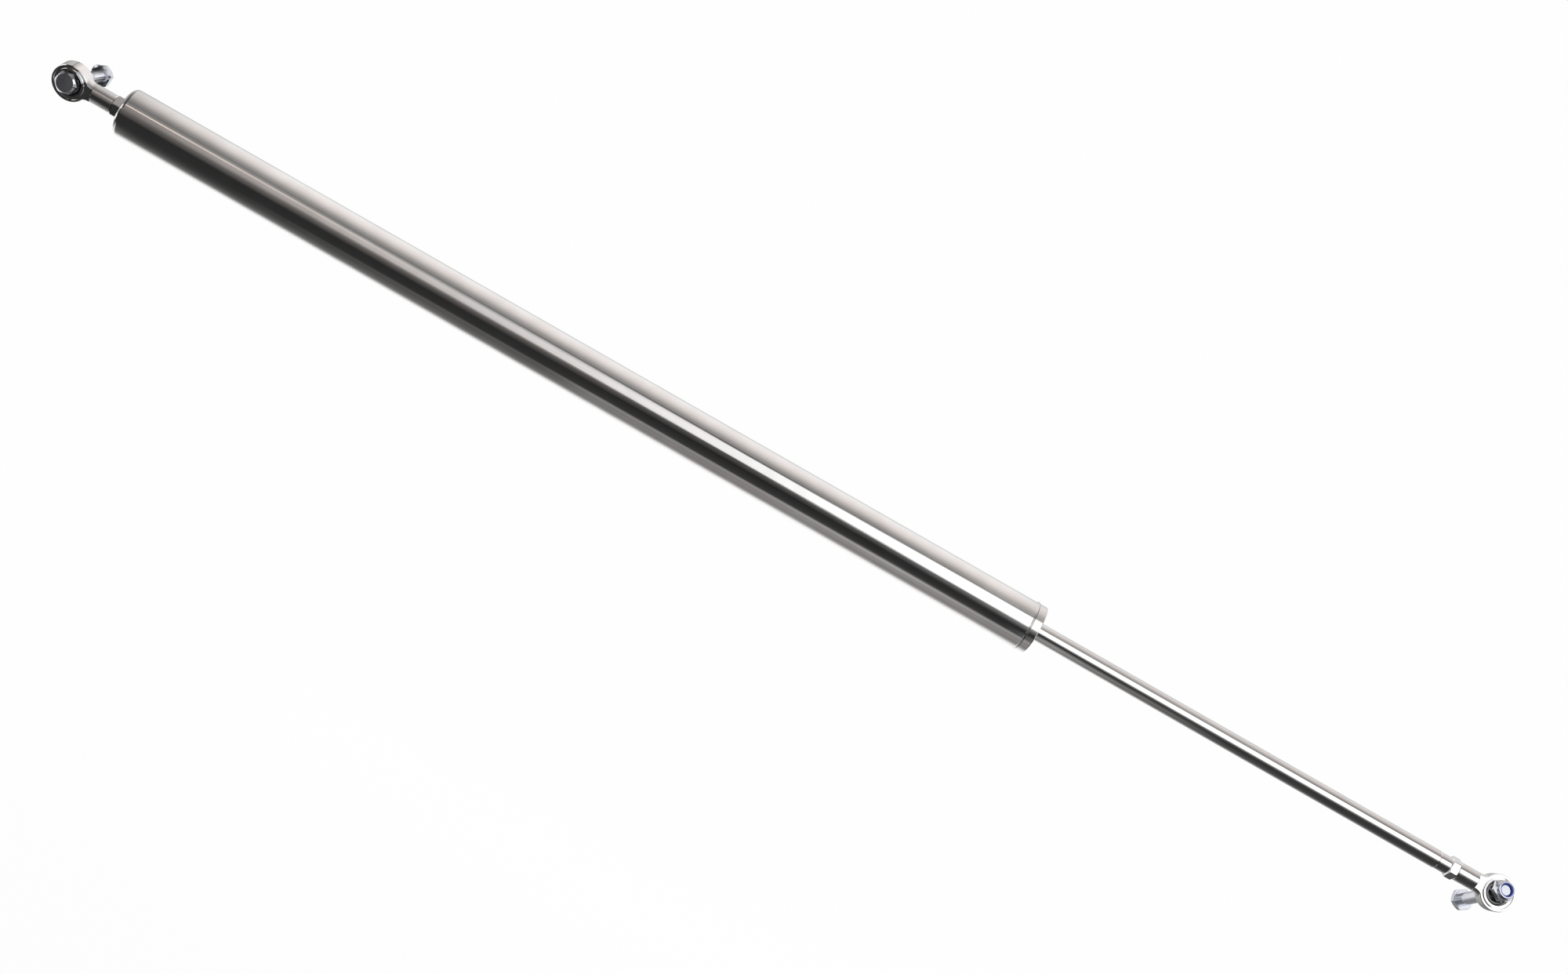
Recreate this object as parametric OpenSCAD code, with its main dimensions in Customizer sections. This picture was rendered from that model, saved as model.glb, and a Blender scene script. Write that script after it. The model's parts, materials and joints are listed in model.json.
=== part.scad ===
// Gas strut stay with a spherical rod end and a loose bolt at each end.
// X runs along the strut from the tube-end pivot to the rod-end pivot. The origin is the centre of the
// tube-end ball, whose eye is square to Y. The strut is drawn fully extended, on its stop.

/* [Tube] */
// Outside diameter of the pressure tube
tube_od = 32; // [28:0.5:40]
// Wall thickness of the pressure tube
tube_wall = 1.5; // [1.2:0.1:2.5]
// Length of the pressure tube, from its rolled rear edge to its mouth
tube_len = 643.4; // [480:0.2:900]
// Inside radius of the bend at the rolled rear edge
roll_bend_r = 1.8; // [0.3:0.1:2.4]
// How far the rear edge is rolled in over the plug
tube_roll = 3; // [2:0.1:4]
// Radius of the half-round bead at the mouth of the tube
bead_r = 0.7; // [0.3:0.05:1]

/* [End plug] */
// Length of the plug inside the tube
plug_len = 13; // [10:0.5:24]
// Diameter of the boss that the rear jam nut seats on
boss_d = 15; // [13:0.5:19]
// Height of that boss behind the tube
boss_h = 0.7; // [0.5:0.1:5]
// Section diameter of the static sealing rings
o_ring_d = 2.6; // [1.8:0.1:3.2]

/* [Gland] */
// Thickness of the flange that closes the mouth of the tube
flange_t = 5.6; // [4:0.1:10]
// Rounding of the flange's front edge
flange_edge_r = 0.8; // [0.3:0.1:1.5]
// Outside diameter of the bush and seal pocket
pocket_d = 19; // [17:0.5:21]
// Length of the guide bush
bush_len = 12; // [8:0.5:20]
// Thickness of the washer that backs the rod seal
backing_t = 2; // [1:0.1:3]
// Length of the rod seal
seal_len = 8; // [5:0.5:12]
// Thickness of the gland's web between the rod seal and the wiper
web_t = 10; // [6:0.5:20]
// Outside diameter of the wiper
wiper_d = 17; // [16:0.5:20]
// Depth of the wiper's pocket
wiper_len = 5; // [3:0.5:8]
// How far the wiper's lip stands out of the flange
wiper_out = 0.8; // [0.3:0.1:2]

/* [Rod] */
// Diameter of the piston rod
rod_d = 12; // [10:0.5:14]
// Length of rod in sight between the flange and the front jam nut
rod_out = 303.4; // [200:0.2:450]
// Length of the turned-down land behind the front jam nut
land_len = 7.6; // [4:0.1:15]
// Depth of the step down to the land
land_step = 0.25; // [0.1:0.05:0.6]
// Width of the V groove where the land begins
groove_w = 0.9; // [0.4:0.1:1.6]

/* [Piston] */
// Length of the piston
piston_len = 14; // [12:0.5:24]
// Axial width of the piston ring
ring_w = 4; // [3:0.5:6]
// Radial thickness of the piston ring
ring_t = 2.2; // [1.5:0.1:3]
// Diameter of each gas passage through the piston
orifice_d = 1.6; // [0.8:0.1:2.5]
// Number of gas passages
orifices = 3; // [2:1:4]
// How far the rod's spigot stands out of the piston nut
spigot_out = 1.5; // [0.5:0.5:5]
// Thickness of the washer behind the piston
washer_t = 2; // [1:0.1:3]

/* [Rod ends] */
// Outside diameter of the eye
eye_od = 24; // [23:0.5:30]
// Thickness of the eye
eye_t = 9; // [7.5:0.1:10]
// Outside diameter of the race pressed into the eye
race_od = 20; // [19:0.1:20.8]
// Diameter of the ball
ball_d = 15.88; // [15:0.02:16.5]
// Width of the ball across its flat faces
ball_w = 12; // [11.2:0.1:13]
// Diameter of the threaded shank
shank_d = 12.5; // [11:0.1:14]
// Length from the ball's centre to the end of the shank
shank_len = 29; // [24:0.5:45]
// Distance from the ball's centre to the end of the flats on the neck
flat_len = 15; // [14:0.5:20]
// Radius of the fillet between the eye and the shank
neck_r = 8; // [4:0.5:10]
// Chamfer on the rim of the eye and the end of the shank
eye_chamfer = 0.4; // [0.2:0.1:1]
// Depth of the V groove that stakes the race into the eye
stake_depth = 0.5; // [0.3:0.1:0.8]
// Depth of the bevel round the race's opening
race_bevel = 1; // [0.5:0.1:1.5]
// Length of solid metal between the race and the threaded socket
socket_web = 4; // [3:0.5:6]

/* [Bolts and nuts] */
// Thread diameter of the bolts, the nuts and the strut's own studs
bolt_d = 8; // [7:0.5:8.5]
// Length of a bolt under its head
bolt_len = 50; // [40:1:80]
// Length of a bolt's thread
thread_len = 22; // [21:0.5:26]
// How far a bolt's thread lies below its plain shank
thread_step = 0.2; // [0.18:0.01:0.3]
// Width across flats of every hexagon
hex_af = 13; // [12.5:0.5:15]
// How much the hexagon's corners are rounded off, across the corners
corner_trim = 0.4; // [0.2:0.1:0.6]
// How far inside the flats the chamfer of a hexagon's end starts
hex_chamfer = 1; // [0.3:0.1:1.2]
// Height of a bolt head
head_h = 5.3; // [4.5:0.1:6]
// How far inside the flats the washer face ends
washer_face_in = 0.7; // [0.3:0.1:1]
// Height of the washer face under a bolt head
washer_face_h = 0.45; // [0.3:0.05:0.8]
// Height of a jam nut
jam_h = 6.5; // [4:0.5:8]
// Height of a lock nut with its collar
lock_nut_h = 8; // [7.5:0.1:10]
// Height of a lock nut's hexagon
lock_hex_h = 5.6; // [4.5:0.1:6]
// Diameter of a lock nut's collar
collar_d = 11.4; // [11:0.1:12]
// Wall of a lock nut's collar
collar_wall = 0.8; // [0.5:0.1:1]
// How far a lock nut's collar is rolled in over its nylon ring
collar_lip = 0.3; // [0.1:0.05:0.4]
// How far a bolt's tip stops short of its lock nut's end
tip_recess = 1.6; // [0:0.1:2]

/* [Pose] */
// Turn of the rod-end eye about the strut, from the tube-end eye
rod_eye_turn = -39; // [-90:1:90]
// Direction of the tube-end bolt's lean, as a turn of its tilt axis from X
tube_tilt_turn = 5; // [-60:1:60]
// Direction of the rod-end bolt's lean, as a turn of its tilt axis from X
rod_tilt_turn = -5; // [-60:1:60]

/* [Fits] */
// Radial clearance of a fit that moves
running = 0.05; // [0.03:0.01:0.08]
// Radial clearance of a piece seated for good
seated = 0.02; // [0.01:0.01:0.04]
// Radial gap where two moving pieces pass without touching
passing = 0.3; // [0.2:0.05:0.4]
// Gap between flat faces that bear on each other
face_gap = 0.05; // [0.03:0.01:0.1]
// Gap left between a leaning bolt's hexagon and the eye
lean_gap = 0.15; // [0.1:0.01:0.3]

/* [Hidden] */
$fn = 96;

tube_r = tube_od / 2;
bore_r = tube_r - tube_wall;
rod_r = rod_d / 2;
thread_r = bolt_d / 2 - thread_step;
stud_r = bolt_d / 2;
stud_hole_r = stud_r + running;

// Stations along the strut, from the tube-end pivot
x_tube = shank_len + jam_h + boss_h;
x_plug = x_tube + tube_wall + face_gap;
x_plug_ring = x_plug + plug_len * 0.6;
x_tube_end = x_tube + tube_len;
x_mouth = x_tube_end + face_gap + flange_t;
x_front_nut = x_mouth + rod_out;
x_rod_eye = x_front_nut + jam_h + shank_len;
x_wiper = x_mouth - wiper_len;
x_seal = x_wiper - web_t - seal_len;
x_gland_ring = x_seal + seal_len / 2;
x_gland = x_seal - backing_t - bush_len - 3 * face_gap;
x_shoulder = x_gland - 2 * face_gap;
x_piston = x_shoulder - face_gap - piston_len;
x_washer = x_piston - face_gap - washer_t;
x_piston_nut = x_washer - face_gap - jam_h;

// Sealing rings just fill the space between the bottom of their groove and the tube
groove_r = bore_r - o_ring_d - 2 * seated;
ring_groove_w = o_ring_d * 1.3;

// The rod end's eye, neck and thread
eye_r = eye_od / 2;
shank_r = shank_d / 2;
ball_r = ball_d / 2;
neck_x = sqrt(pow(eye_r + neck_r, 2) - pow(shank_r + neck_r, 2));
neck_start = neck_x * eye_r / (eye_r + neck_r);
socket_x = race_od / 2 + socket_web;
edge_break = 0.4;

// A bolt leans until a corner of its hexagon comes up to the eye
hex_corner_r = hex_af / cos(30) / 2 - corner_trim / 2;
washer_face_r = hex_af / 2 - washer_face_in;
lean_h = ball_w / 2 + face_gap + washer_face_h;
lean = acos((eye_t / 2 + lean_gap) / norm([lean_h, hex_corner_r])) - atan2(hex_corner_r, lean_h);

// Places along a bolt's axis, from the ball's centre: one end is snug on the ball, the other stands off it
snug_z = ball_w / 2 + face_gap;
far_z = bolt_len - snug_z - lock_nut_h + tip_recess;

// How far each hexagon is turned about its own axis
tube_head_turn = 50;
tube_nut_turn = 38;
rod_head_turn = 32;
rod_nut_turn = 24;
rear_jam_turn = 56;
front_jam_turn = 24;

// Shared shapes

// Turns a shape drawn along Z so that it runs along X from station x
module along_x(x) {
    translate([x, 0, 0])
        rotate([0, 90, 0])
            children();
}

// A plain ring or washer along Z
module ring(r_out, r_in, h) {
    rotate_extrude()
        translate([r_in, 0])
            square([r_out - r_in, h]);
}

// A sealing ring of round section, standing at radius r
module o_ring(r) {
    rotate_extrude()
        translate([r, 0])
            circle(d = o_ring_d);
}

// A groove for a sealing ring, cut into a plug of the tube's bore
module o_ring_groove(x) {
    along_x(x - ring_groove_w / 2)
        ring(bore_r + passing, groove_r, ring_groove_w);
}

// A hexagon with its corners rounded off and a 30 degree chamfer on the ends that are asked for
module hexagon(h, bottom, top) {
    inner_r = hex_af / 2 - hex_chamfer;
    fall = (hex_corner_r - inner_r) * tan(30);
    intersection() {
        cylinder(r = hex_af / cos(30) / 2, h = h, $fn = 6);
        rotate_extrude()
            polygon([
                [0, 0], [bottom ? inner_r : hex_corner_r, 0], [hex_corner_r, bottom ? fall : 0],
                [hex_corner_r, top ? h - fall : h], [top ? inner_r : hex_corner_r, h], [0, h]
            ]);
    }
}

// A hexagon nut with countersunk thread ends
module plain_nut(h, hole_r) {
    sink = 0.6;
    difference() {
        hexagon(h, true, true);
        translate([0, 0, -1])
            cylinder(r = hole_r, h = h + 2);
        cylinder(r1 = hole_r + sink, r2 = hole_r, h = sink);
        translate([0, 0, h - sink])
            cylinder(r1 = hole_r, r2 = hole_r + sink, h = sink);
    }
}

// A part-threaded hexagon bolt: head below Z 0, shank up to bolt_len
module bolt(turn) {
    plain_len = bolt_len - thread_len;
    run_out = stud_r - thread_r;
    tip = 0.6;
    rotate_extrude()
        polygon([
            [0, -head_h / 2], [washer_face_r, -head_h / 2], [washer_face_r, 0], [stud_r, 0],
            [stud_r, plain_len - run_out], [thread_r, plain_len], [thread_r, bolt_len - tip],
            [thread_r - tip, bolt_len], [0, bolt_len]
        ]);
    translate([0, 0, -head_h])
        rotate([0, 0, turn])
            hexagon(head_h - washer_face_h, true, false);
}

// Room inside a lock nut's collar for its nylon ring
module insert_pocket(gap) {
    pocket_r = collar_d / 2 - collar_wall + gap;
    translate([0, 0, lock_hex_h - gap])
        ring(pocket_r, thread_r + running, lock_nut_h - collar_lip - lock_hex_h + 2 * gap);
}

// A lock nut: bearing face at Z 0, hexagon, then the collar rolled in over the nylon ring
module lock_nut(turn) {
    collar_r = collar_d / 2;
    hole_r = thread_r + running;
    roll = 0.7;
    mouth_r = collar_r - collar_wall - collar_lip;
    difference() {
        union() {
            rotate([0, 0, turn])
                hexagon(lock_hex_h, true, true);
            rotate_extrude() {
                square([collar_r, lock_nut_h - roll]);
                square([collar_r - roll, lock_nut_h]);
                translate([collar_r - roll, lock_nut_h - roll])
                    circle(r = roll);
            }
        }
        translate([0, 0, -1])
            cylinder(r = hole_r, h = lock_nut_h + 2);
        insert_pocket(seated);
        translate([0, 0, lock_nut_h - 1])
            cylinder(r = mouth_r, h = 2);
    }
}

// A rod end's forged eye: centre at the origin, eye square to Y, threaded shank along +X
module eye_body() {
    seat_r = race_od / 2 + seated;
    difference() {
        union() {
            rotate([90, 0, 0])
                rotate_extrude()
                    polygon([
                        [0, -eye_t / 2], [eye_r - eye_chamfer, -eye_t / 2], [eye_r, eye_chamfer - eye_t / 2],
                        [eye_r, eye_t / 2 - eye_chamfer], [eye_r - eye_chamfer, eye_t / 2], [0, eye_t / 2]
                    ]);
            intersection() {
                eye_neck();
                translate([0, -eye_t / 2, -eye_r])
                    cube([flat_len, eye_t, eye_od]);
            }
            along_x(flat_len)
                eye_shank(shank_len - flat_len);
        }
        rotate([90, 0, 0])
            cylinder(r = seat_r, h = eye_t + 2, center = true);
        for (side = [-1, 1])
            rotate([90 * side, 0, 0])
                translate([0, 0, eye_t / 2 - stake_depth])
                    cylinder(r1 = seat_r, r2 = seat_r + 2 * stake_depth, h = 2 * stake_depth);
        along_x(socket_x)
            cylinder(r = stud_hole_r, h = shank_len);
        along_x(shank_len - edge_break)
            cylinder(r1 = stud_hole_r, r2 = stud_hole_r + 2 * edge_break, h = 2 * edge_break);
    }
}

// The turned neck, a fillet of revolution that runs from the eye into the shank
module eye_neck() {
    along_x(0)
        rotate_extrude() {
            difference() {
                translate([0, neck_start])
                    square([shank_r + neck_r, neck_x - neck_start]);
                translate([shank_r + neck_r, neck_x])
                    circle(r = neck_r);
            }
            translate([0, neck_start])
                square([shank_r, shank_len - neck_start]);
        }
}

// The round shank, with both of its edges broken
module eye_shank(h) {
    rotate_extrude()
        polygon([
            [0, 0], [shank_r - edge_break, 0], [shank_r, edge_break],
            [shank_r, h - eye_chamfer], [shank_r - eye_chamfer, h], [0, h]
        ]);
}

// The race, hollowed to the ball and bevelled round both of its openings
module race() {
    r = race_od / 2;
    seat_r = ball_r + running;
    mouth_r = sqrt(pow(seat_r, 2) - pow(eye_t / 2 - race_bevel, 2)) + race_bevel;
    under_r = mouth_r - 2 * race_bevel;
    under_z = eye_t / 2 - 2 * race_bevel;
    rotate([90, 0, 0])
        rotate_extrude()
            difference() {
                polygon([
                    [mouth_r, -eye_t / 2], [r - stake_depth, -eye_t / 2], [r, stake_depth - eye_t / 2],
                    [r, eye_t / 2 - stake_depth], [r - stake_depth, eye_t / 2], [mouth_r, eye_t / 2],
                    [under_r, under_z], [under_r, -under_z]
                ]);
                circle(r = seat_r);
            }
}

// The ball, flat on two sides and drilled for the bolt
module ball() {
    hole_r = stud_r + running;
    difference() {
        intersection() {
            sphere(r = ball_r);
            cylinder(r = ball_r + 1, h = ball_w, center = true);
        }
        cylinder(r = hole_r, h = ball_w + 2, center = true);
        for (side = [0, 180])
            rotate([side, 0, 0])
                translate([0, 0, ball_w / 2 - edge_break])
                    cylinder(r1 = hole_r, r2 = hole_r + 2 * edge_break, h = 2 * edge_break);
    }
}

// Leans a piece drawn along Z, about an axis in the plane of the eye, so that it lies on a bolt's axis
module leaning(turn) {
    rotate(a = -lean, v = [cos(turn), 0, sin(turn)])
        rotate([-90, 0, 0])
            children();
}

// Puts a piece drawn along Z on the tube-end bolt's axis, with Z away from the head
module on_tube_pivot() {
    leaning(tube_tilt_turn)
        children();
}

// Puts a rod end's piece at the rod end, with its shank towards the tube
module at_rod_eye() {
    translate([x_rod_eye, 0, 0])
        rotate([rod_eye_turn, 0, 0])
            children();
}

// Puts a piece drawn along Z on the rod-end bolt's axis, with Z towards the head
module on_rod_pivot() {
    at_rod_eye()
        leaning(rod_tilt_turn)
            children();
}

// Tube end

// The drawn tube: rolled in at the rear over the plug, with a bead round its mouth
module tube() {
    edge_r = roll_bend_r + tube_wall;
    bend_r = tube_r - edge_r;
    roll_r = bend_r - tube_roll;
    color("silver")
        along_x(x_tube)
            rotate_extrude() {
                translate([bore_r, edge_r])
                    square([tube_wall, tube_len - edge_r]);
                translate([roll_r, 0])
                    square([tube_roll, tube_wall]);
                translate([bend_r, edge_r])
                    difference() {
                        intersection() {
                            circle(r = edge_r);
                            translate([0, -edge_r])
                                square(edge_r);
                        }
                        circle(r = roll_bend_r);
                    }
                translate([tube_r, tube_len - bead_r])
                    circle(r = bead_r);
            }
}

// The plug that the tube is rolled over, with the boss and stud that carry the tube-end eye
module end_plug() {
    plug_r = bore_r - seated;
    relief = roll_bend_r + edge_break;
    color("gainsboro")
        difference() {
            union() {
                along_x(x_plug)
                    rotate_extrude()
                        polygon([
                            [0, 0], [plug_r - relief, 0], [plug_r, relief],
                            [plug_r, plug_len], [0, plug_len]
                        ]);
                along_x(x_tube - boss_h + face_gap)
                    cylinder(d = boss_d, h = boss_h + tube_wall + face_gap);
                along_x(socket_x + 1)
                    cylinder(r = stud_r, h = x_plug - socket_x);
            }
            o_ring_groove(x_plug_ring);
        }
}

module plug_o_ring() {
    color("black")
        along_x(x_plug_ring)
            o_ring(bore_r - seated - o_ring_d / 2);
}

module rear_jam_nut() {
    color("silver")
        along_x(shank_len + face_gap)
            rotate([0, 0, rear_jam_turn])
                plain_nut(jam_h - face_gap, stud_hole_r);
}

module tube_eye() {
    color("lightgray")
        eye_body();
}

module tube_race() {
    color("gainsboro")
        race();
}

module tube_ball() {
    color("dimgray")
        on_tube_pivot()
            ball();
}

module tube_bolt() {
    color("lightsteelblue")
        on_tube_pivot()
            translate([0, 0, -snug_z])
                bolt(tube_head_turn);
}

module tube_lock_nut() {
    color("lightsteelblue")
        on_tube_pivot()
            translate([0, 0, far_z])
                lock_nut(tube_nut_turn);
}

module tube_nut_insert() {
    color("royalblue")
        on_tube_pivot()
            translate([0, 0, far_z])
                insert_pocket(0);
}

// Gland, with what guides and seals the rod

module gland() {
    body_r = bore_r - seated;
    pocket_r = pocket_d / 2 + seated;
    wiper_r = wiper_d / 2 + seated;
    color("silver")
        difference() {
            union() {
                along_x(x_gland)
                    cylinder(r = body_r, h = x_mouth - flange_t - x_gland);
                along_x(x_mouth - flange_t)
                    rotate_extrude() {
                        square([tube_r, flange_t - flange_edge_r]);
                        square([tube_r - flange_edge_r, flange_t]);
                        translate([tube_r - flange_edge_r, flange_t - flange_edge_r])
                            circle(r = flange_edge_r);
                    }
            }
            along_x(x_gland - 1)
                cylinder(r = rod_r + passing, h = x_mouth - x_gland + 2);
            along_x(x_gland - 1)
                cylinder(r = pocket_r, h = x_seal + seal_len - x_gland + 1);
            along_x(x_wiper)
                cylinder(r = wiper_r, h = wiper_len + 1);
            o_ring_groove(x_gland_ring);
        }
}

module gland_o_ring() {
    color("black")
        along_x(x_gland_ring)
            o_ring(bore_r - seated - o_ring_d / 2);
}

module guide_bush() {
    color("peru")
        along_x(x_gland)
            ring(pocket_d / 2, rod_r + running, bush_len);
}

module seal_backing_washer() {
    color("gray")
        along_x(x_seal - face_gap - backing_t)
            ring(pocket_d / 2, rod_r + passing, backing_t);
}

// A U-section seal: its lips face the gas and its inner lip runs on the rod
module rod_seal() {
    in_r = rod_r + running;
    out_r = pocket_d / 2;
    lip_t = (out_r - in_r) / 3;
    heel = seal_len * 0.45;
    color("darkslategray")
        along_x(x_seal)
            rotate_extrude()
                polygon([
                    [in_r, 0], [in_r + lip_t / 2, 0], [in_r + lip_t, seal_len - heel],
                    [out_r - lip_t, seal_len - heel], [out_r - lip_t / 2, 0], [out_r, 0],
                    [out_r, seal_len - face_gap], [in_r + passing, seal_len - face_gap],
                    [in_r + passing, seal_len - heel]
                ]);
}

// The wiper, with a lip that tapers onto the rod outside the flange
module wiper() {
    in_r = rod_r + running;
    out_r = wiper_d / 2;
    lip_r = in_r + (out_r - in_r) * 0.3;
    root_r = in_r + (out_r - in_r) * 0.6;
    color("black")
        along_x(x_wiper + face_gap)
            rotate_extrude()
                polygon([
                    [in_r + passing, 0], [out_r, 0], [out_r, wiper_len - 2 * face_gap],
                    [root_r, wiper_len - 2 * face_gap], [lip_r, wiper_len + wiper_out],
                    [in_r, wiper_len + wiper_out], [in_r, wiper_len - wiper_out]
                ]);
}

// Rod and piston

// The rod: piston spigot, ground shaft, groove, land and the stud that carries the rod-end eye
module rod() {
    spigot_x = x_piston_nut - spigot_out;
    land_x = x_front_nut - land_len;
    land_r = rod_r - land_step;
    stud_end = x_rod_eye - socket_x - 1;
    land_end = x_front_nut - face_gap;
    color("silver")
        along_x(0)
            rotate_extrude()
                polygon([
                    [0, spigot_x], [stud_r, spigot_x], [stud_r, x_shoulder], [rod_r, x_shoulder],
                    [rod_r, land_x - groove_w], [land_r - land_step, land_x - groove_w / 2], [land_r, land_x],
                    [land_r, land_end], [stud_r, land_end], [stud_r, stud_end], [0, stud_end]
                ]);
}

module piston() {
    piston_r = bore_r - passing;
    ring_bottom = bore_r - running - ring_t - passing;
    color("gold")
        difference() {
            along_x(x_piston)
                cylinder(r = piston_r, h = piston_len);
            along_x(x_piston - 1)
                cylinder(r = stud_hole_r, h = piston_len + 2);
            along_x(x_piston + (piston_len - ring_w) / 2 - face_gap)
                ring(bore_r + passing, ring_bottom, ring_w + 2 * face_gap);
            for (i = [0 : orifices - 1])
                rotate([i * 360 / orifices, 0, 0])
                    translate([0, 0, hex_corner_r + orifice_d])
                        along_x(x_piston - 1)
                            cylinder(d = orifice_d, h = piston_len + 2);
        }
}

module piston_ring() {
    ring_r = bore_r - running;
    color("ivory")
        along_x(x_piston + (piston_len - ring_w) / 2)
            ring(ring_r, ring_r - ring_t, ring_w);
}

module piston_washer() {
    color("gray")
        along_x(x_washer)
            ring(hex_corner_r, stud_hole_r, washer_t);
}

module piston_nut() {
    color("silver")
        along_x(x_piston_nut)
            plain_nut(jam_h, stud_hole_r);
}

// Rod end

module front_jam_nut() {
    color("silver")
        along_x(x_front_nut)
            rotate([0, 0, front_jam_turn])
                plain_nut(jam_h - face_gap, stud_hole_r);
}

module rod_eye() {
    color("lightgray")
        at_rod_eye()
            rotate([0, 0, 180])
                eye_body();
}

module rod_race() {
    color("gainsboro")
        at_rod_eye()
            race();
}

module rod_ball() {
    color("dimgray")
        on_rod_pivot()
            ball();
}

module rod_lock_nut() {
    color("lightsteelblue")
        on_rod_pivot()
            translate([0, 0, -snug_z])
                rotate([180, 0, 0])
                    lock_nut(rod_nut_turn);
}

module rod_nut_insert() {
    color("royalblue")
        on_rod_pivot()
            translate([0, 0, -snug_z])
                rotate([180, 0, 0])
                    insert_pocket(0);
}

module rod_bolt() {
    color("lightsteelblue")
        on_rod_pivot()
            translate([0, 0, far_z])
                rotate([180, 0, 0])
                    bolt(rod_head_turn);
}

tube();
end_plug();
plug_o_ring();
gland();
gland_o_ring();
guide_bush();
rod_seal();
seal_backing_washer();
wiper();
rod();
piston();
piston_ring();
piston_washer();
piston_nut();
rear_jam_nut();
front_jam_nut();
tube_eye();
tube_race();
tube_ball();
tube_bolt();
tube_lock_nut();
tube_nut_insert();
rod_eye();
rod_race();
rod_ball();
rod_bolt();
rod_lock_nut();
rod_nut_insert();
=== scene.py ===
import json
import math

import bpy
from mathutils import Matrix, Vector


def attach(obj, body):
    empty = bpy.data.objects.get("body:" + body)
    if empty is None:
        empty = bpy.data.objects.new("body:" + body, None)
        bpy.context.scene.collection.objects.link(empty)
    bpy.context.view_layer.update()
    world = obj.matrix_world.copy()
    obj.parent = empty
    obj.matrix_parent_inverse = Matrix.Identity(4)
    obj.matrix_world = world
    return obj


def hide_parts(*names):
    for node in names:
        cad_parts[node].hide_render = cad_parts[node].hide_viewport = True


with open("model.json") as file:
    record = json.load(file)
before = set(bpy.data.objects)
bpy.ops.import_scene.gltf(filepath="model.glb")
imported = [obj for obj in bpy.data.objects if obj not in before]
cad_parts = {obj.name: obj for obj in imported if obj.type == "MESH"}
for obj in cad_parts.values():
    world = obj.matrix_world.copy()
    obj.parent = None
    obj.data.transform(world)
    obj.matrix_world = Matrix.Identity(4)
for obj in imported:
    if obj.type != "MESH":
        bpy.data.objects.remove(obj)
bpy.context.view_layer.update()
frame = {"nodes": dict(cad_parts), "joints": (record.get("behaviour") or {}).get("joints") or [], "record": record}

nodes = frame["nodes"]
joints = {joint["name"]: joint for joint in frame["joints"]}
mounts = {mount["name"]: mount for mount in frame["record"]["mounts"]}

MM = 0.001

# The two pivots: where each eye is, and how it is turned about the strut
TUBE_EYE = Vector((0, 0, 0))
ROD_EYE = Vector(mounts["rod_end_pivot"]["pos_m"])
ROD_EYE_AXIS = Vector(mounts["rod_end_pivot"]["axis"])
ROD_EYE_TURN = math.atan2(ROD_EYE_AXIS.z, ROD_EYE_AXIS.y)

# The bolts, in millimetres: as in the solids, apart from the cut thread and a steeper chamfer on the head
BOLT_LEN = 50
BOLT_R = 4
THREAD_LEN = 22
THREAD_R = 3.8
THREAD_PITCH = 1.25
THREAD_DEPTH = 0.55
# Shares of half a pitch: a flat crest, then a flank, then a flat root
THREAD_CREST = 0.2
THREAD_FLANK = 0.6
TIP = 0.6
HEAD_H = 5.3
HEX_AF = 13
CORNER_TRIM = 0.2
HEX_CORNER_R = HEX_AF / math.cos(math.radians(30)) / 2 - CORNER_TRIM
CHAMFER_IN = 0.9
CHAMFER = math.radians(45)
HEX_TOP_R = HEX_AF / 2 - CHAMFER_IN
WASHER_FACE_IN = 0.7
WASHER_FACE_R = HEX_AF / 2 - WASHER_FACE_IN
WASHER_FACE_H = 0.45
# Where a bolt's head stands along its axis, from the ball's centre, and how it is turned, in degrees
SNUG_Z = 6.05
FAR_Z = 37.55
TUBE_HEAD_TURN = 50
ROD_HEAD_TURN = 32

# How finely the bolts are meshed, and from what angle their edges are sharp
FLAT_STEPS = 14
ROWS_PER_PITCH = 16
SHARP = math.radians(28)

# The camera, which stands before the strut and is rolled so that the strut lies on a slant
CAMERA_AT = Vector((0.4450, -1.1469, 0.6752))
CAMERA_AIM = Vector((0.5035, 0, 0))
CAMERA_ROLL = math.radians(-31.17)
CAMERA_LENS = 48.96
SENSOR_WIDTH = 36

# The studio: its floor, how much of that shows as plain white, and the light that fills it
FLOOR_Z = -0.5
FLOOR_SIZE = 30
FLOOR_WHITE = 0.98
FILL_LIGHT = 0.6
CARD_STEPS = 48
TENT = (-5, 3)

# Fine marks left by turning, and smudges on the metal, per metre
TOOL_MARKS = 2600
SMUDGES = 60
# Painted shade in the crease at the tube's mouth, by its bead: how wide, in metres, and how much of its colour is
# left
PAINTED_SHADE_WIDTH = 0.0006
PAINTED_SHADE_LEFT = 0.3


# Materials

def add(tree, kind, inputs=None, **settings):
    """A node with its settings, and its inputs given as values or linked sockets."""
    node = tree.nodes.new(kind)
    for key, value in settings.items():
        setattr(node, key, value)
    for key, value in (inputs or {}).items():
        if isinstance(value, bpy.types.NodeSocket):
            tree.links.new(value, node.inputs[key])
        else:
            node.inputs[key].default_value = value
    return node


def ramp(tree, value, stops):
    """A colour ramp over value, from (position, colour) stops."""
    node = add(tree, "ShaderNodeValToRGB", {"Fac": value})
    elements = node.color_ramp.elements
    while len(elements) < len(stops):
        elements.new(1)
    for element, (position, colour) in zip(elements, stops):
        element.position = position
        element.color = (*colour, 1)
    return node.outputs["Color"]


def between(tree, value, low, high):
    """Maps a 0 to 1 value onto low to high."""
    node = add(tree, "ShaderNodeMapRange", {"Value": value, "To Min": low, "To Max": high})
    return node.outputs["Result"]


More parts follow.
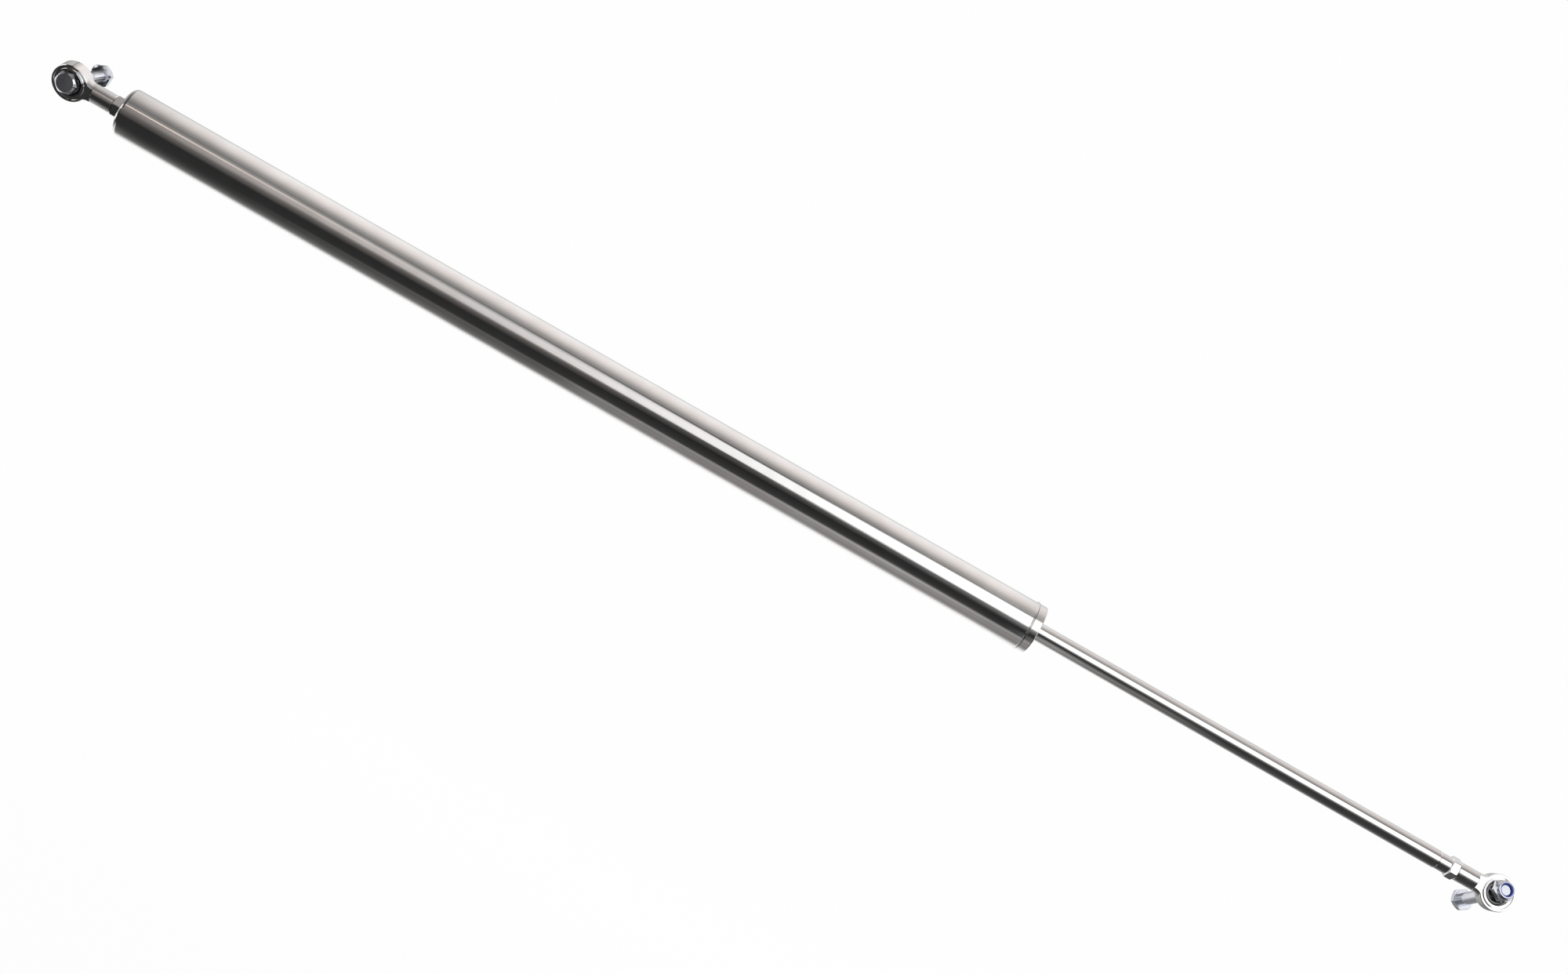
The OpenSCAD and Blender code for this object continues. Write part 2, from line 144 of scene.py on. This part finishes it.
def placed(tree, origin=(0, 0, 0), turn=0, scale=(1, 1, 1)):
    """A piece's own coordinates, from an origin, turned about X and scaled."""
    coords = add(tree, "ShaderNodeTexCoord")
    node = add(tree, "ShaderNodeMapping", {
        "Vector": coords.outputs["Object"], "Location": origin, "Rotation": (turn, 0, 0),
        "Scale": [1 / value for value in scale],
    }, vector_type="TEXTURE")
    return node.outputs["Vector"]


def noise(tree, vector, scale, detail, roughness):
    node = add(tree, "ShaderNodeTexNoise", {
        "Vector": vector, "Scale": scale, "Detail": detail, "Roughness": roughness,
    })
    return node.outputs["Fac"]


def rings(tree, origin, turn, flat, per_metre):
    """Fine tool marks round an axis: noise over the distance from it. flat is 0 along the axis, else 1."""
    vector = placed(tree, origin, turn)
    across = add(tree, "ShaderNodeVectorMath", {0: vector, 1: flat}, operation="MULTIPLY")
    radius = add(tree, "ShaderNodeVectorMath", {0: across.outputs["Vector"]}, operation="LENGTH")
    node = add(tree, "ShaderNodeTexNoise", {
        "W": radius.outputs["Value"], "Scale": per_metre, "Detail": 2.0,
    }, noise_dimensions="1D")
    return node.outputs["Fac"]


def metal(name, colours, roughness, marks, bump):
    """A polished metal: tool marks in its roughness and surface, and faint smudges in its colour.

    marks(tree) gives the tool marks as a 0 to 1 socket; colours and roughness are low and high values.
    """
    material = bpy.data.materials.new(name)
    material.use_nodes = True
    tree = material.node_tree
    shader = tree.nodes["Principled BSDF"]
    shader.inputs["Metallic"].default_value = 1
    lines = marks(tree)
    smudge = noise(tree, placed(tree), SMUDGES, 4, 0.55)
    colour = ramp(tree, smudge, [(0.35, colours[0]), (0.65, colours[1])])
    tree.links.new(colour, shader.inputs["Base Color"])
    both = add(tree, "ShaderNodeMath", {0: lines, 1: smudge}, operation="MULTIPLY")
    rough = between(tree, both.outputs["Value"], roughness[0], roughness[1])
    tree.links.new(rough, shader.inputs["Roughness"])
    normal = add(tree, "ShaderNodeBump", {"Height": lines, "Strength": 1, "Distance": bump})
    tree.links.new(normal.outputs["Normal"], shader.inputs["Normal"])
    return material


def plain(name, colours, roughness, scale, bump, **sockets):
    """A rubber or plastic: a fine moulded grain, with colour and gloss that follow it."""
    material = bpy.data.materials.new(name)
    material.use_nodes = True
    tree = material.node_tree
    shader = tree.nodes["Principled BSDF"]
    for key, value in sockets.items():
        shader.inputs[key.replace("_", " ")].default_value = value
    grain = noise(tree, placed(tree), scale, 5, 0.6)
    colour = ramp(tree, grain, [(0.3, colours[0]), (0.7, colours[1])])
    tree.links.new(colour, shader.inputs["Base Color"])
    tree.links.new(between(tree, grain, roughness[0], roughness[1]), shader.inputs["Roughness"])
    normal = add(tree, "ShaderNodeBump", {"Height": grain, "Strength": 1, "Distance": bump})
    tree.links.new(normal.outputs["Normal"], shader.inputs["Normal"])
    return material


def paint_end_shade(piece, material, width, shade):
    """Darkens the last width of a piece towards +X: painted shade in the crease by the tube's bead."""
    tree = material.node_tree
    shader = tree.nodes["Principled BSDF"]
    colour = shader.inputs["Base Color"].links[0].from_socket
    end = max(vertex.co.x for vertex in piece.data.vertices)
    along = add(tree, "ShaderNodeSeparateXYZ", {"Vector": placed(tree)})
    painted_shade_mask = add(tree, "ShaderNodeMath", {0: along.outputs["X"], 1: end - width}, operation="GREATER_THAN")
    # painted shade: the colour is scaled down over the last width towards the end
    shaded_colour = add(tree, "ShaderNodeVectorMath", {
        0: colour, "Scale": between(tree, painted_shade_mask.outputs["Value"], 1, shade),
    }, operation="SCALE")
    tree.links.new(shaded_colour.outputs["Vector"], shader.inputs["Base Color"])


def lengthwise(tree):
    """Marks of drawing, along the strut."""
    return noise(tree, placed(tree, scale=(8, 800, 800)), 1, 4, 0.6)


def crosswise(tree):
    """Marks of grinding, across the strut."""
    return noise(tree, placed(tree, scale=(2600, 60, 60)), 1, 3, 0.55)


def mottled(tree):
    return noise(tree, placed(tree), 900, 4, 0.6)


def about_strut(tree):
    return rings(tree, (0, 0, 0), 0, (0, 1, 1), TOOL_MARKS)


def about_tube_eye(tree):
    return rings(tree, TUBE_EYE, 0, (1, 0, 1), TOOL_MARKS)


def about_rod_eye(tree):
    return rings(tree, ROD_EYE, ROD_EYE_TURN, (1, 0, 1), TOOL_MARKS)


STEEL = ((0.80, 0.79, 0.78), (0.86, 0.855, 0.85))
BRIGHT = ((0.84, 0.835, 0.83), (0.89, 0.885, 0.88))
ZINC = ((0.62, 0.65, 0.71), (0.74, 0.76, 0.81))
# A dark colour for the balls, darker than the other steel
DARK_BALL = ((0.13, 0.13, 0.135), (0.20, 0.20, 0.205))
BRONZE = ((0.60, 0.42, 0.22), (0.72, 0.53, 0.31))
ALLOY = ((0.72, 0.72, 0.72), (0.80, 0.80, 0.79))

finishes = {
    metal("drawn_tube_steel", STEEL, (0.05, 0.22), lengthwise, 1.5e-5): ["tube"],
    metal("ground_rod_steel", BRIGHT, (0.04, 0.16), crosswise, 1e-7): ["rod"],
    metal("turned_steel", STEEL, (0.10, 0.30), about_strut, 6e-7): [
        "gland", "end_plug", "piston_washer", "seal_backing_washer",
    ],
    metal("tube_eye_steel", STEEL, (0.08, 0.26), about_tube_eye, 4e-7): ["tube_eye", "tube_race"],
    metal("rod_eye_steel", STEEL, (0.08, 0.26), about_rod_eye, 4e-7): ["rod_eye", "rod_race"],
    metal("ball_steel", DARK_BALL, (0.06, 0.20), mottled, 1e-7): ["tube_ball", "rod_ball"],
    metal("nut_steel", ZINC, (0.08, 0.30), mottled, 8e-6): [
        "tube_lock_nut", "rod_lock_nut", "piston_nut",
    ],
    metal("jam_nut_steel", BRIGHT, (0.08, 0.26), about_strut, 4e-7): ["rear_jam_nut", "front_jam_nut"],
    metal("bush_bronze", BRONZE, (0.20, 0.45), about_strut, 6e-7): ["guide_bush"],
    metal("piston_alloy", ALLOY, (0.20, 0.45), about_strut, 6e-7): ["piston"],
    plain("insert_nylon", ((0.06, 0.10, 0.50), (0.10, 0.17, 0.64)), (0.28, 0.45), 1400, 4e-6,
          Subsurface_Weight=0.15, Subsurface_Scale=0.002): ["tube_nut_insert", "rod_nut_insert"],
    plain("seal_rubber", ((0.012, 0.012, 0.013), (0.03, 0.03, 0.03)), (0.45, 0.7), 2500, 3e-6): [
        "plug_o_ring", "gland_o_ring", "rod_seal", "wiper",
    ],
    plain("ring_ptfe", ((0.82, 0.81, 0.77), (0.90, 0.89, 0.86)), (0.35, 0.5), 1800, 2e-6): ["piston_ring"],
}
for material, names in finishes.items():
    for name in names:
        for material_slot in nodes[name].material_slots:
            material_slot.material = material

# Painted shade at the tube's mouth, in the crease by its bead
paint_end_shade(nodes["tube"], nodes["tube"].material_slots[0].material, PAINTED_SHADE_WIDTH, PAINTED_SHADE_LEFT)

bolt_steel = metal("bolt_steel", ZINC, (0.08, 0.30), mottled, 8e-6)
forged_steel = metal("forged_steel", ZINC, (0.32, 0.70), mottled, 6e-5)


# Bolts with cut threads, in place of the solids' plain ones

def head_angles():
    """Angles round a hexagon from one corner, with extra ones where its rounded corners start."""
    corner = math.radians(30) - math.acos(HEX_AF / 2 / HEX_CORNER_R)
    width = math.radians(60) - 2 * corner
    side = [corner + width * i / FLAT_STEPS for i in range(FLAT_STEPS + 1)]
    return [math.radians(60) * sector + angle for sector in range(6) for angle in [0, *side]]


def hex_radius(angle):
    """How far the head reaches at an angle from a corner."""
    from_corner = abs((angle + math.radians(30)) % math.radians(60) - math.radians(30))
    return min(HEX_AF / 2 / math.cos(math.radians(30) - from_corner), HEX_CORNER_R)


def thread_radius(angle, z):
    """The thread's surface: flat crests and roots on a helix, run out at the shank and cut by the tip."""
    start = BOLT_LEN - THREAD_LEN
    phase = (z / THREAD_PITCH - angle / math.tau) % 1
    groove = min(max((abs(2 * phase - 1) - THREAD_CREST) / THREAD_FLANK, 0), 1)
    run_out = min(max((z - start) / THREAD_PITCH, 0), 1)
    tip_r = THREAD_R - TIP + (BOLT_LEN - z)
    return min(THREAD_R - THREAD_DEPTH * groove * run_out, tip_r)


def bolt_rows(angles):
    """Rings of (radius, z) round a bolt, from the top of its head to its tip."""
    start = BOLT_LEN - THREAD_LEN
    rows = [
        [(HEX_TOP_R, -HEAD_H)] * len(angles),
        [(hex_radius(a), -HEAD_H + (hex_radius(a) - HEX_TOP_R) * math.tan(CHAMFER)) for a in angles],
        [(hex_radius(a), -WASHER_FACE_H) for a in angles],
    ]
    plain_rows = [
        (WASHER_FACE_R, -WASHER_FACE_H), (WASHER_FACE_R, 0), (BOLT_R, 0),
        (BOLT_R, start - (BOLT_R - THREAD_R)), (THREAD_R, start),
    ]
    rows += [[row] * len(angles) for row in plain_rows]
    count = round(THREAD_LEN / THREAD_PITCH * ROWS_PER_PITCH)
    for i in range(1, count + 1):
        z = start + THREAD_LEN * i / count
        rows.append([(thread_radius(a, z), z) for a in angles])
    return rows


def bolt(name, node, turn, place):
    """One closed mesh for a bolt: head below Z 0, shank and cut thread above it."""
    angles = head_angles()
    rows = bolt_rows(angles)
    turned = [angle + math.radians(turn) for angle in angles]
    points = [(r * math.cos(a), r * math.sin(a), z) for row in rows for (r, z), a in zip(row, turned)]
    n = len(angles)
    faces = [
        (k * n + i, k * n + (i + 1) % n, (k + 1) * n + (i + 1) % n, (k + 1) * n + i)
        for k in range(len(rows) - 1) for i in range(n)
    ]
    head, tip = len(points), len(points) + 1
    points += [(0, 0, -HEAD_H), (0, 0, BOLT_LEN)]
    last = (len(rows) - 1) * n
    faces += [(head, (i + 1) % n, i) for i in range(n)]
    faces += [(tip, last + i, last + (i + 1) % n) for i in range(n)]

    mesh = bpy.data.meshes.new(name)
    mesh.from_pydata(points, [], faces)
    mesh.transform(place @ Matrix.Scale(MM, 4))
    mesh.polygons.foreach_set("use_smooth", [True] * len(faces))
    mesh.set_sharp_from_angle(angle=SHARP)
    mesh.materials.append(bolt_steel)
    mesh.materials.append(forged_steel)
    for face in mesh.polygons:
        face.material_index = int(head in face.vertices)
    piece = bpy.data.objects.new(name, mesh)
    bpy.context.scene.collection.objects.link(piece)
    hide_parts(node)
    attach(piece, node)


def pivot(centre, eye_turn, tilt, spin):
    """Where a bolt's own Z axis lies: through the eye's centre, leaning about the tilt joint's axis."""
    eye = Matrix.Rotation(eye_turn, 4, "X")
    axis = eye.inverted() @ Vector(joints[tilt]["axis"])
    along = eye.inverted() @ Vector(joints[spin]["axis"])
    lean = math.acos(along.y)
    return (Matrix.Translation(centre) @ eye @ Matrix.Rotation(-lean, 4, axis)
            @ Matrix.Rotation(math.radians(-90), 4, "X"))


tube_pivot = pivot(TUBE_EYE, 0, "tube_ball_tilt", "tube_bolt_turn")
rod_pivot = pivot(ROD_EYE, ROD_EYE_TURN, "rod_ball_tilt", "rod_nut_turn")
bolt("tube_bolt_threaded", "tube_bolt", TUBE_HEAD_TURN,
     tube_pivot @ Matrix.Translation((0, 0, -SNUG_Z * MM)))
bolt("rod_bolt_threaded", "rod_bolt", ROD_HEAD_TURN,
     rod_pivot @ Matrix.Translation((0, 0, FAR_Z * MM)) @ Matrix.Rotation(math.pi, 4, "X"))


# Studio: a pale floor, and a light tent round the strut whose cards only the metal sees

to_camera = Vector((0, *(CAMERA_AT - CAMERA_AIM).yz)).normalized()
over_camera = Vector((0, to_camera.z, -to_camera.y))


def grey(value):
    return (value, value, value)


def card(name, reach, radius, span, layers):
    """A curved card parallel to the strut, lit from inside.

    reach is its two angles round the strut, from the camera's side upwards; span its two ends along X.
    Each layer of its light is (bands, fade): (angle, colour) stops across it, (x, strength) stops along it.
    """
    mesh = bpy.data.meshes.new(name)
    points = []
    for i in range(CARD_STEPS + 1):
        angle = math.radians(reach[0] + (reach[1] - reach[0]) * i / CARD_STEPS)
        spoke = radius * (math.cos(angle) * to_camera + math.sin(angle) * over_camera)
        points += [(x, spoke.y, spoke.z) for x in span]
    mesh.from_pydata(points, [], [(2 * i, 2 * i + 1, 2 * i + 3, 2 * i + 2) for i in range(CARD_STEPS)])
    layer = mesh.uv_layers.new(name="card")
    for loop in mesh.loops:
        layer.data[loop.index].uv = (loop.vertex_index // 2 / CARD_STEPS, loop.vertex_index % 2)

    material = bpy.data.materials.new(name)
    material.use_nodes = True
    tree = material.node_tree
    tree.nodes.clear()
    where = add(tree, "ShaderNodeSeparateXYZ", {"Vector": add(tree, "ShaderNodeTexCoord").outputs["UV"]})
    total = None
    for bands, fade in layers:
        across = [((angle - reach[0]) / (reach[1] - reach[0]), colour) for angle, colour in bands]
        along = [((x - span[0]) / (span[1] - span[0]), grey(strength)) for x, strength in fade]
        light = add(tree, "ShaderNodeEmission", {
            "Color": ramp(tree, where.outputs["X"], across),
            "Strength": ramp(tree, where.outputs["Y"], along),
        }).outputs["Emission"]
        if total:
            light = add(tree, "ShaderNodeAddShader", {0: total, 1: light}).outputs["Shader"]
        total = light
    out = add(tree, "ShaderNodeOutputMaterial", {"Surface": total})
    out.is_active_output = True
    mesh.materials.append(material)

    piece = bpy.data.objects.new(name, mesh)
    bpy.context.scene.collection.objects.link(piece)
    piece.visible_camera = False
    piece.visible_shadow = False


# A warm white wall behind and above the strut, dimmer past both of its ends, with a pale foot by the rod
card("back_wall", (47, 176), 1.0, TENT, [
    ([(47, (0.25, 0.245, 0.24)), (60, (0.38, 0.36, 0.35)), (74, (0.62, 0.58, 0.56)),
      (89, (0.84, 0.79, 0.77)), (106, (0.97, 0.91, 0.89)), (124, (1.02, 0.99, 0.98)), (140, grey(0.96)),
      (150, grey(0.8)), (176, grey(0.6))],
     [(-5, 0.35), (-1.3, 0.5), (-0.32, 0.65), (-0.2, 0.9), (-0.15, 0.95), (-0.07, 1.02), (0.02, 1),
      (0.82, 1), (0.9, 0.78), (3, 0.78)]),
    ([(47, grey(0.1)), (58, grey(0.08)), (70, grey(0)), (176, grey(0))],
     [(-5, 0), (0.75, 0), (0.8, 1), (1.16, 1), (1.22, 0), (3, 0)]),
])
# A curtain beyond the tube end, which draws a dark line round the tube's rolled edge
card("dark_curtain", (10, 125), 0.98, (-1.25, -0.42), [
    ([(10, grey(0.05)), (70, grey(0.08)), (125, grey(0.3))], [(-1.25, 1), (-0.42, 1)]),
])
# A white soft box over the camera, bright and wide by the rod, fading to a warm line at the tube end
card("soft_box", (-26, 47), 1.0, TENT, [
    ([(-26, grey(0)), (1, grey(0.03)), (6, grey(1)), (39, grey(1)), (42, grey(0.05)), (47, grey(0))],
     [(-5, 1), (-1.6, 1), (-1.3, 0), (0.02, 0), (0.1, 0.1), (0.19, 0.21), (0.28, 0.4), (0.37, 0.63),
      (0.45, 0.88), (0.63, 1.2), (1.55, 1.2), (1.7, 0.35), (3, 0.35)]),
    ([(-26, grey(0)), (-5, grey(0)), (3, (0.4, 0.38, 0.37)), (8, (1, 0.96, 0.94)), (24, (1, 0.96, 0.94)),
      (30, (0.85, 0.82, 0.8)), (35, grey(0.3)), (40, grey(0)), (47, grey(0))],
     [(-5, 0), (-0.26, 0), (-0.22, 0.08), (-0.15, 0.13), (-0.07, 0.16), (0.02, 0.28), (0.19, 0.27),
      (0.37, 0.19), (0.5, 0), (3, 0)]),
    ([(-26, grey(0)), (-5, grey(0.05)), (-1, grey(0.6)), (1, grey(1)), (6, grey(0.2)), (38, grey(0.2)),
      (41, grey(1)), (44, grey(1)), (46, grey(0.1)), (47, grey(0.05))],
     [(-5, 0), (0.5, 0), (0.63, 0.35), (0.78, 1.2), (1.55, 1.2), (1.7, 0.35), (3, 0.35)]),
    ([(-26, grey(0.02)), (-12, (0.105, 0.097, 0.094)), (0, (0.17, 0.16, 0.155)),
      (12, (0.27, 0.245, 0.235)), (23, (0.34, 0.30, 0.29)), (28, (0.35, 0.32, 0.305)),
      (34, (0.30, 0.29, 0.28)), (47, (0.22, 0.215, 0.21))],
     [(-5, 0.4), (-0.3, 0.8), (-0.1, 1), (0.2, 0.8), (0.5, 0.3), (0.8, 0), (3, 0)]),
    ([(-26, grey(0)), (25, grey(0)), (26, (1, 0.84, 0.74)), (28.5, (1, 0.84, 0.74)), (29.5, grey(0)),
      (47, grey(0))],
     [(-5, 0.25), (-0.32, 0.5), (-0.28, 0.6), (-0.25, 0.9), (-0.2, 0.7), (-0.15, 0.5), (-0.07, 0.36),
      (0.02, 0.15), (0.1, 0), (3, 0)]),
    ([(-26, grey(0)), (-12, grey(0.2)), (0, grey(0.3)), (42, grey(0.1)), (47, grey(0.4))],
     [(-5, 0), (0.8, 0), (0.95, 1), (3, 1)]),
    ([(-26, grey(0.022)), (-15, grey(0.048)), (-8, grey(0.08)), (-2, grey(0)), (47, grey(0))],
     [(-5, 0), (0.42, 0), (0.52, 0.2), (0.6, 0.28), (0.69, 0.5), (0.78, 1), (0.84, 1), (0.88, 0),
      (3, 0)]),
])
# A black flag under the camera, a little paler before the rod
card("black_flag", (-62, -26), 1.0, (-5, 1.6), [
    ([(-62, grey(0.028)), (-26, grey(0.028))], [(-5, 1), (1.6, 1)]),
    ([(-62, grey(0.02)), (-26, grey(0.02))], [(-5, 0), (0.95, 0), (1.05, 1), (1.6, 1)]),
])
# A dark mat under the strut, with paler sheets before the tube's mouth, by the rod and at the tube end
card("dark_mat", (-145, -36), 0.45, (-0.8, 1.8), [
    ([(-145, grey(0.98)), (-128, grey(0.5)), (-118, grey(0.22)), (-106, grey(0.12)), (-89, grey(0.06)),
      (-74, grey(0.038)), (-60, grey(0.03)), (-36, grey(0.028))],
     [(-0.8, 1), (0.7, 1), (0.95, 0.5), (1.15, 0.4), (1.8, 0.4)]),
    ([(-145, (0.15, 0.14, 0.14)), (-106, (0.13, 0.124, 0.12)), (-98, (0.16, 0.15, 0.145)),
      (-90, (0.23, 0.22, 0.215)), (-81, (0.20, 0.19, 0.185)), (-71, (0.29, 0.28, 0.275)),
      (-64, (0.24, 0.235, 0.23)), (-60, grey(0.02)), (-36, grey(0))],
     [(-0.8, 0), (0, 0), (0.2, 0.24), (0.31, 0.28), (0.35, 0.8), (0.45, 0.88), (0.52, 1), (0.78, 1),
      (0.95, 0.1), (1.05, 0), (1.8, 0)]),
    ([(-145, grey(0)), (-95, grey(0)), (-84, grey(0.04)), (-74, grey(0.09)), (-65, grey(0.13)),
      (-58, grey(0.05)), (-53, grey(0)), (-36, grey(0))],
     [(-0.8, 0), (0.5, 0), (0.565, 0.45), (0.63, 1), (0.7, 0.5), (0.76, 0), (1.8, 0)]),
    ([(-145, grey(0)), (-74, grey(0)), (-62, grey(0.2)), (-44, grey(0.24)), (-37, grey(0.05)),
      (-36, grey(0))],
     [(-0.8, 0), (0.745, 0), (0.78, 0.85), (0.81, 0.45), (0.845, 0.36), (0.875, 0.36), (0.95, 0),
      (1.8, 0)]),
    ([(-145, grey(0.3)), (-118, grey(0.6)), (-100, grey(0.6)), (-85, grey(0.45)), (-72, grey(0.1)),
      (-62, grey(0)), (-36, grey(0))],
     [(-0.8, 0), (-0.4, 0), (-0.32, 1), (-0.16, 1), (-0.13, 0.35), (-0.09, 0), (1.8, 0)]),
    ([(-145, grey(0)), (-128, grey(0.035)), (-100, grey(0.03)), (-60, grey(0.03)), (-36, grey(0.028))],
     [(-0.8, 0), (0.86, 0), (0.92, 0.8), (1.1, 1), (1.8, 1)]),
])
# The same mat running on behind the rod
card("rear_mat", (-178, -145), 0.45, (0.72, 1.8), [
    ([(-178, grey(1)), (-145, grey(0.98))], [(0.72, 1), (0.95, 0.45), (1.15, 0.25), (1.8, 0.25)]),
])


def background(tree):
    """1 for rays that see the white background: from the camera, in reflections and through glass."""
    path = add(tree, "ShaderNodeLightPath")
    seen = add(tree, "ShaderNodeMath", {
        0: path.outputs["Is Camera Ray"], 1: path.outputs["Is Glossy Ray"],
    }, operation="MAXIMUM")
    through = add(tree, "ShaderNodeMath", {
        0: seen.outputs["Value"], 1: path.outputs["Is Transmission Ray"],
    }, operation="MAXIMUM")
    return through.outputs["Value"]


world = bpy.data.worlds.new("studio")
bpy.context.scene.world = world
world.use_nodes = True
sky = world.node_tree.nodes["Background"]
sky.inputs["Color"].default_value = (1, 1, 1, 1)
strength = between(world.node_tree, background(world.node_tree), FILL_LIGHT, 1)
world.node_tree.links.new(strength, sky.inputs["Strength"])

floor_mesh = bpy.data.meshes.new("floor")
edge = FLOOR_SIZE / 2
floor_mesh.from_pydata(
    [(-edge, -edge, FLOOR_Z), (edge, -edge, FLOOR_Z), (edge, edge, FLOOR_Z), (-edge, edge, FLOOR_Z)],
    [], [(0, 1, 2, 3)])
floor = bpy.data.objects.new("floor", floor_mesh)
bpy.context.scene.collection.objects.link(floor)
paper = bpy.data.materials.new("white_paper")
paper.use_nodes = True
paper_tree = paper.node_tree
sheet = paper_tree.nodes["Principled BSDF"]
sheet.inputs["Base Color"].default_value = (0.9, 0.9, 0.9, 1)
sheet.inputs["Roughness"].default_value = 0.9
lit = add(paper_tree, "ShaderNodeEmission", {"Color": (1, 1, 1, 1), "Strength": 1})
share = between(paper_tree, background(paper_tree), 0, FLOOR_WHITE)
mixed = add(paper_tree, "ShaderNodeMixShader", {
    0: share, 1: sheet.outputs["BSDF"], 2: lit.outputs["Emission"],
})
paper_tree.links.new(mixed.outputs["Shader"], paper_tree.nodes["Material Output"].inputs["Surface"])
floor_mesh.materials.append(paper)

camera_data = bpy.data.cameras.new("camera")
camera_data.sensor_width = SENSOR_WIDTH
camera_data.sensor_fit = "HORIZONTAL"
camera_data.lens = CAMERA_LENS
camera = bpy.data.objects.new("camera", camera_data)
bpy.context.scene.collection.objects.link(camera)
look = (CAMERA_AIM - CAMERA_AT).to_track_quat("-Z", "Y").to_matrix().to_4x4()
camera.matrix_world = Matrix.Translation(CAMERA_AT) @ look @ Matrix.Rotation(-CAMERA_ROLL, 4, "Z")
bpy.context.scene.camera = camera
bpy.context.scene.view_settings.view_transform = "Standard"
